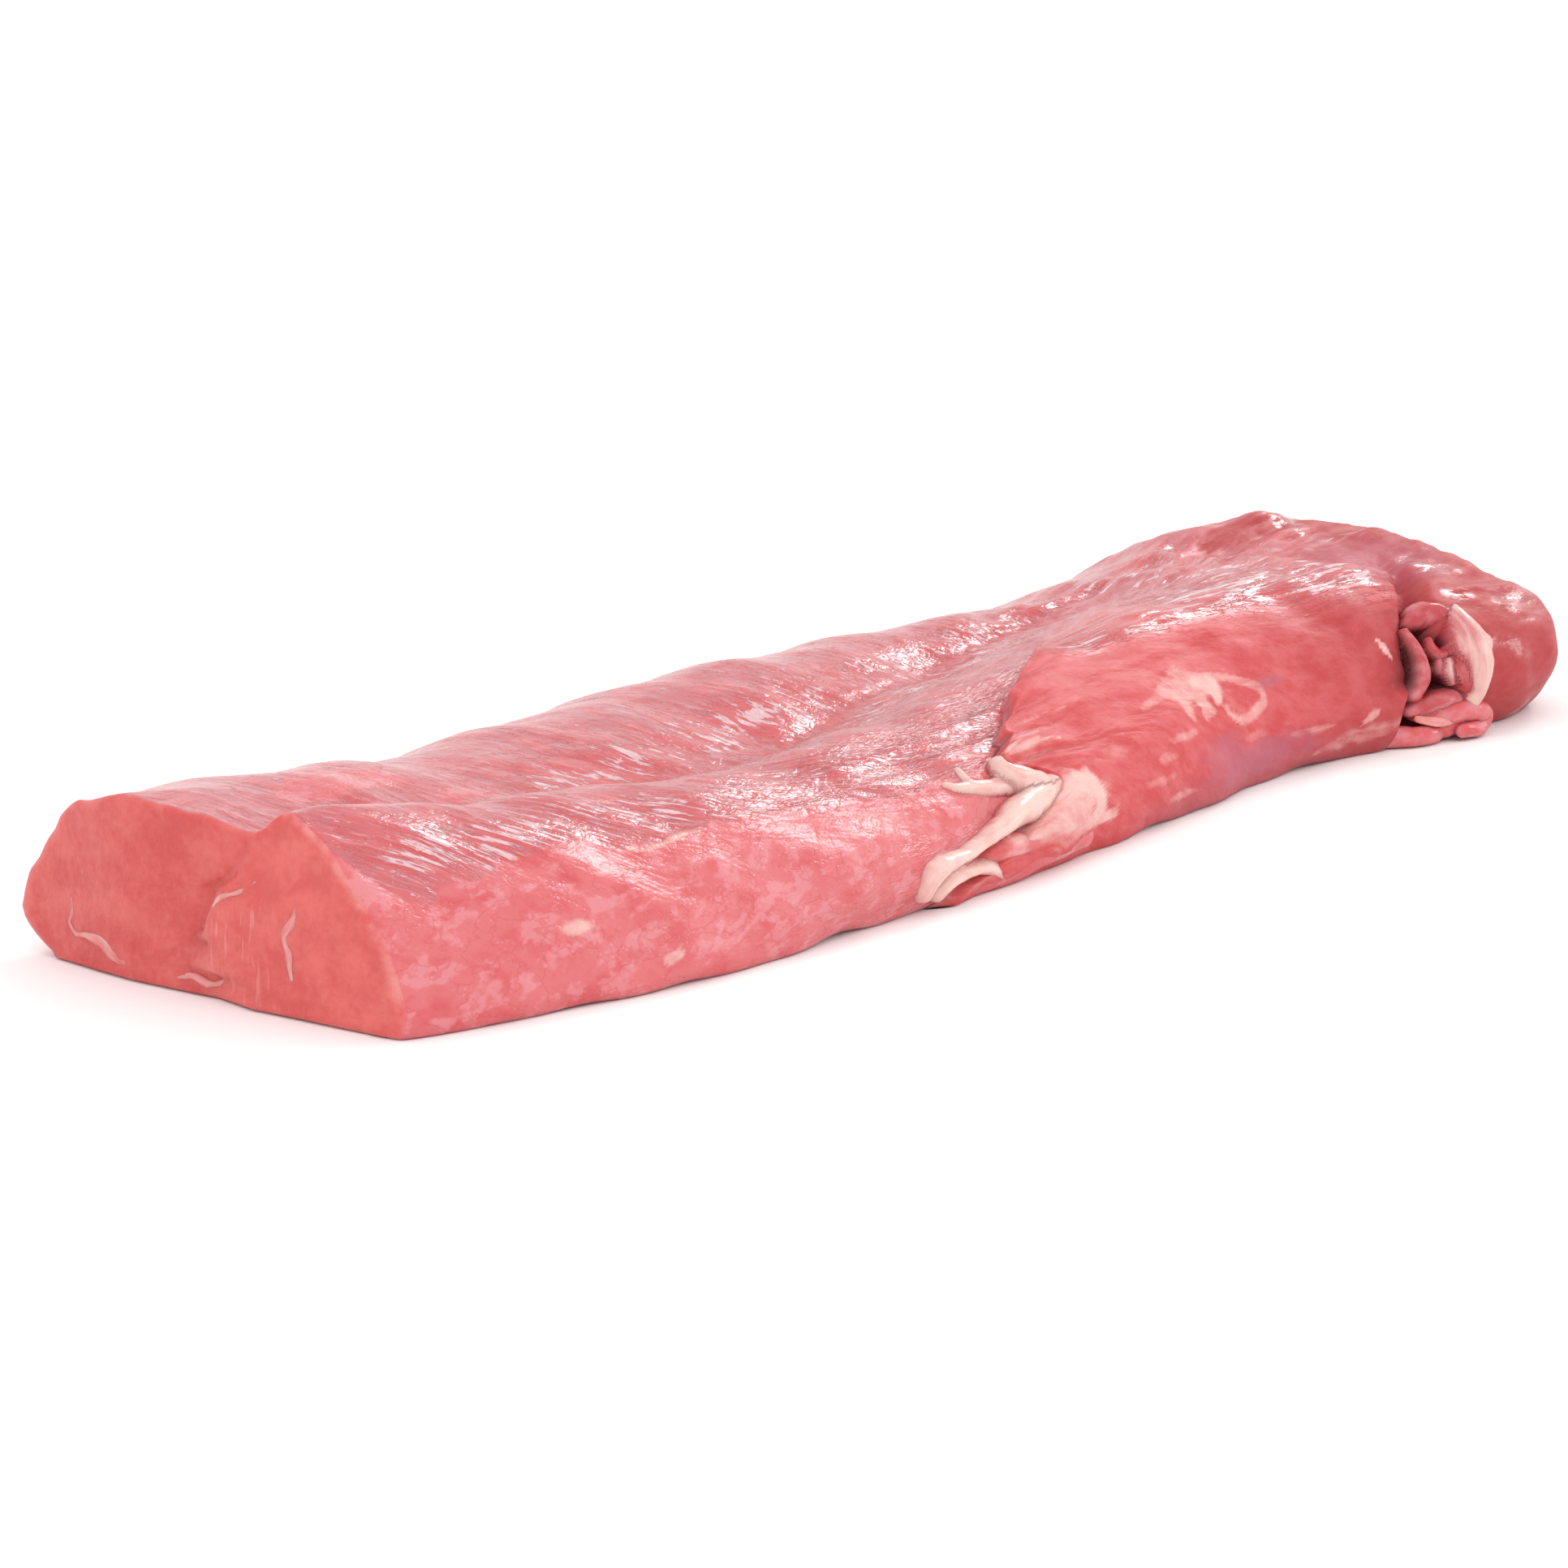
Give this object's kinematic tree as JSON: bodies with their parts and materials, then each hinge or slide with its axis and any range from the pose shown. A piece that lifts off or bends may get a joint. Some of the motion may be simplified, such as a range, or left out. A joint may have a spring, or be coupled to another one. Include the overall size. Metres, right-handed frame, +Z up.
{
  "type": "raw veal loin fillet",
  "caption": "Long trimmed boneless veal loin muscle with a flat cross cut at one end, a rounded tail, an overlapping side sheet and straps of fat; food item that lies on its flat sole.",
  "frame": {"origin": "middle of the bounding box at the flat sole", "axes": "+X along the meat from the cross cut to the tail, +Y from the side with the straps of fat to the plain side, +Z up"},
  "size_m": [0.548, 0.162, 0.0576],
  "materials": {
    "veal_meat": "wet raw meat, pale coral pink, with a silvery film and creamy fat"
  },
  "bodies": {
    "root": {"veal_loin_fillet": "veal_meat"}
  },
  "joints": []
}
